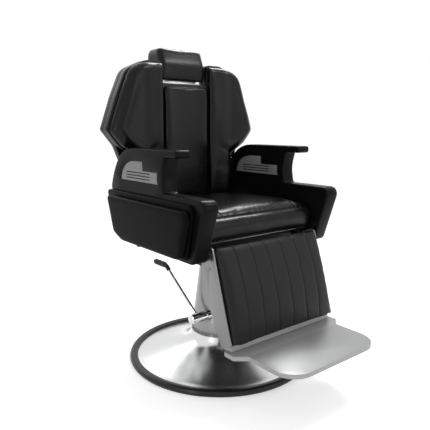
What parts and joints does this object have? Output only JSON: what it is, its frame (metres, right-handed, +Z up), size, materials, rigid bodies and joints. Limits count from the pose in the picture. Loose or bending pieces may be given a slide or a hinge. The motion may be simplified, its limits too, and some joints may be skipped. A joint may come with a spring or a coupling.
{
  "type": "hydraulic barber chair",
  "caption": "Upholstered hydraulic barber chair with a round pump base, winged reclining back, sliding headrest, side arms and a leg rest with a foot plate.",
  "frame": {"origin": "centre of the round base on the floor", "axes": "+Z up along the ram, -Y the way the sitter faces, +X to the sitter's left"},
  "size_m": [0.7394, 0.9345, 1.184],
  "materials": {
    "rubber_trim": "moulded black rubber, semi-gloss",
    "chrome": "polished chrome plate",
    "chrome_column": "satin chrome-plated sheet",
    "cast_iron": "cast and painted grey",
    "painted_tank": "grey machine enamel",
    "steel": "machined steel",
    "zinc": "bright zinc plate",
    "black_frame": "black powder coat",
    "plywood": "plywood sealed black",
    "upholstery": "smooth black upholstery hide with a soft sheen",
    "side_moulding": "black moulded foam skin, satin",
    "inlay": "mid-grey satin plate",
    "shell_moulding": "black moulded shell, fine grain",
    "satin_steel": "satin steel sheet with polished edges",
    "satin_aluminium": "satin cast aluminium",
    "knob": "black phenolic, gloss"
  },
  "bodies": {
    "base": {"base_trim": "rubber_trim", "base_dish": "chrome", "base_weight": "cast_iron", "pump_cover": "chrome_column", "pump_tank": "painted_tank", "pump_cylinder": "steel", "gland_cap": "steel", "pump_bolts": "zinc", "lever_bearing": "chrome"},
    "pump_lever": {"lever_hub": "chrome", "lever_rod": "chrome", "lever_grip": "rubber_trim"},
    "ram": {"ram_rod": "chrome", "thrust_bearing": "steel"},
    "seat": {"swivel_socket": "black_frame", "left_rail": "black_frame", "right_rail": "black_frame", "front_crossbar": "black_frame", "rear_crossbar": "black_frame", "centre_crossbars": "black_frame", "seat_board": "plywood", "seat_cushion": "upholstery", "left_side_frame": "side_moulding", "right_side_frame": "side_moulding", "outer_inlays": "inlay", "inner_inlays": "inlay", "left_side_panel": "upholstery", "right_side_panel": "upholstery", "left_side_pad": "upholstery", "right_side_pad": "upholstery", "arm_spacers": "zinc", "arm_bolts": "zinc", "back_pins": "steel", "legrest_pins": "steel", "lock_bracket": "black_frame", "lever_bush": "black_frame"},
    "backrest": {"back_arms": "black_frame", "back_board": "shell_moulding", "rear_shell": "shell_moulding", "shell_screws": "zinc", "back_tubes": "black_frame", "left_wing_pad": "upholstery", "right_wing_pad": "upholstery", "centre_pad": "upholstery", "headrest_strip": "chrome"},
    "headrest": {"headrest_pad": "upholstery", "headrest_base": "steel", "headrest_posts": "chrome"},
    "legrest": {"legrest_shell": "satin_steel", "legrest_pad": "upholstery", "footplate": "satin_aluminium", "footplate_bolts": "zinc"},
    "linkage": {"recline_links": "black_frame", "link_pins": "steel", "tie_rod": "steel"},
    "lock_barrel": {"lock_cylinder": "black_frame"},
    "lock_piston": {"lock_rod": "chrome"},
    "release": {"recline_lever": "chrome", "lever_knob": "knob"}
  },
  "joints": [
    {"name": "lift", "type": "slide", "parent": "base", "child": "ram", "axis": [0, 0, 1], "range_m": [0, 0.16]},
    {"name": "swivel", "type": "hinge", "parent": "ram", "child": "seat", "pos_m": [0, 0, 0.44], "axis": [0, 0, 1], "continuous": true},
    {"name": "recline", "type": "hinge", "parent": "seat", "child": "backrest", "pos_m": [0, 0.205, 0.4895], "axis": [-1, 0, 0], "range_deg": [0, 45]},
    {"name": "legrest_lift", "type": "hinge", "parent": "seat", "child": "legrest", "pos_m": [0, -0.2478, 0.4895], "axis": [-1, 0, 0], "range_deg": [0, 45]},
    {"name": "link_turn", "type": "hinge", "parent": "backrest", "child": "linkage", "pos_m": [0, 0.205, 0.4395], "axis": [-1, 0, 0], "range_deg": [-45, 0]},
    {"name": "lock_turn", "type": "hinge", "parent": "seat", "child": "lock_barrel", "pos_m": [0.15, -0.16, 0.455], "axis": [1, 0, 0], "range_deg": [0, 2.97]},
    {"name": "lock_slide", "type": "slide", "parent": "lock_barrel", "child": "lock_piston", "axis": [0, 0.9985, -0.0553], "range_m": [-0.03578, 0]},
    {"name": "headrest_slide", "type": "slide", "parent": "backrest", "child": "headrest", "axis": [0, 0, 1], "range_m": [0, 0.08]},
    {"name": "pump", "type": "hinge", "parent": "base", "child": "pump_lever", "pos_m": [-0.13, -0.04, 0.187], "axis": [-1, 0, 0], "range_deg": [0, 25], "stiffness_Nm_per_rad": 12, "springref_deg": -20.05},
    {"name": "release_lever", "type": "hinge", "parent": "seat", "child": "release", "pos_m": [0.3, 0.02, 0.454], "axis": [1, 0, 0], "range_deg": [0, 15], "stiffness_Nm_per_rad": 6, "springref_deg": -20.05}
  ],
  "couplings": [
    {"joint": "legrest_lift", "follows": "recline", "ratio": 1},
    {"joint": "link_turn", "follows": "recline", "ratio": -1},
    {"joint": "lock_turn", "follows": "recline", "ratio": 0.065959},
    {"joint": "lock_slide", "follows": "recline", "m_per_rad": -0.04556}
  ]
}
